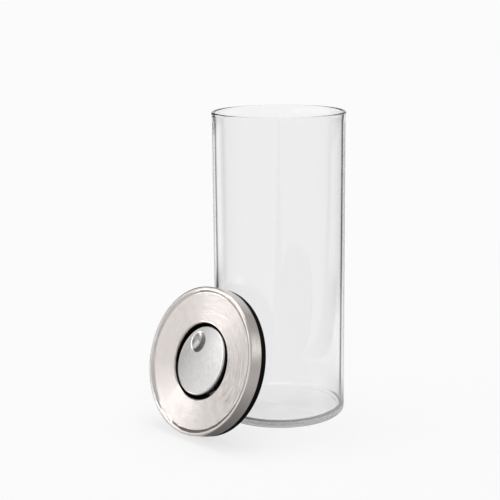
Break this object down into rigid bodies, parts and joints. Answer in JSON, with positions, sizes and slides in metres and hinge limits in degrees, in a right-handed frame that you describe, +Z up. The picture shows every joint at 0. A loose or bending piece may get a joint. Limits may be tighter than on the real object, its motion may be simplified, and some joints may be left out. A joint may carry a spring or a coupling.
{
  "type": "lidded glass canister",
  "caption": "Tall round glass storage canister with a rocker-operated sealing lid in steel and black plastic; the lid is off and leans against the jar.",
  "frame": {"origin": "centre of the jar's base, on the surface that it stands on", "axes": "+Z up along the jar's axis, -Y to the front, the lid stands to the front left (-X, -Y) and leans back on the jar"},
  "size_m": [0.1496, 0.1502, 0.2325],
  "materials": {
    "glass": "clear, fire-polished",
    "brushed_steel": "circular brushed",
    "satin_steel": "satin",
    "bright_steel": "bright turned",
    "spring_steel": "drawn wire",
    "black_plastic": "fine moulded",
    "silicone": "soft matt"
  },
  "bodies": {
    "jar": {"glass_jar": "glass"},
    "lid": {"lid_cover": "brushed_steel", "lid_housing": "black_plastic", "pivot_pin": "bright_steel", "detent_spring": "spring_steel", "seal_ring": "silicone", "return_spring": "spring_steel"},
    "rocker": {"rocker_disc": "satin_steel", "rocker_lever": "black_plastic", "draw_pin": "bright_steel"},
    "plunger": {"draw_stem": "bright_steel", "stem_o_ring": "silicone", "pressure_plate": "black_plastic", "stem_washer": "bright_steel", "stem_screw": "bright_steel"}
  },
  "joints": [
    {"name": "lid_lift", "type": "slide", "parent": "jar", "child": "lid", "axis": [0, 0, 1], "range_m": [0, 0.1]},
    {"name": "rocker_tilt", "type": "hinge", "parent": "lid", "child": "rocker", "pos_m": [-0.0529, -0.06097, 0.04577], "axis": [0.693, -0.4786, 0.5391], "range_deg": [0, 7.2]},
    {"name": "plunger_slide", "type": "slide", "parent": "lid", "child": "plunger", "axis": [-0.6887, -0.6605, 0.299], "range_m": [0, 0.00138], "deforming": ["seal_ring", "return_spring"]}
  ],
  "couplings": [
    {"joint": "plunger_slide", "follows": "rocker_tilt", "m_per_rad": 0.010971}
  ]
}
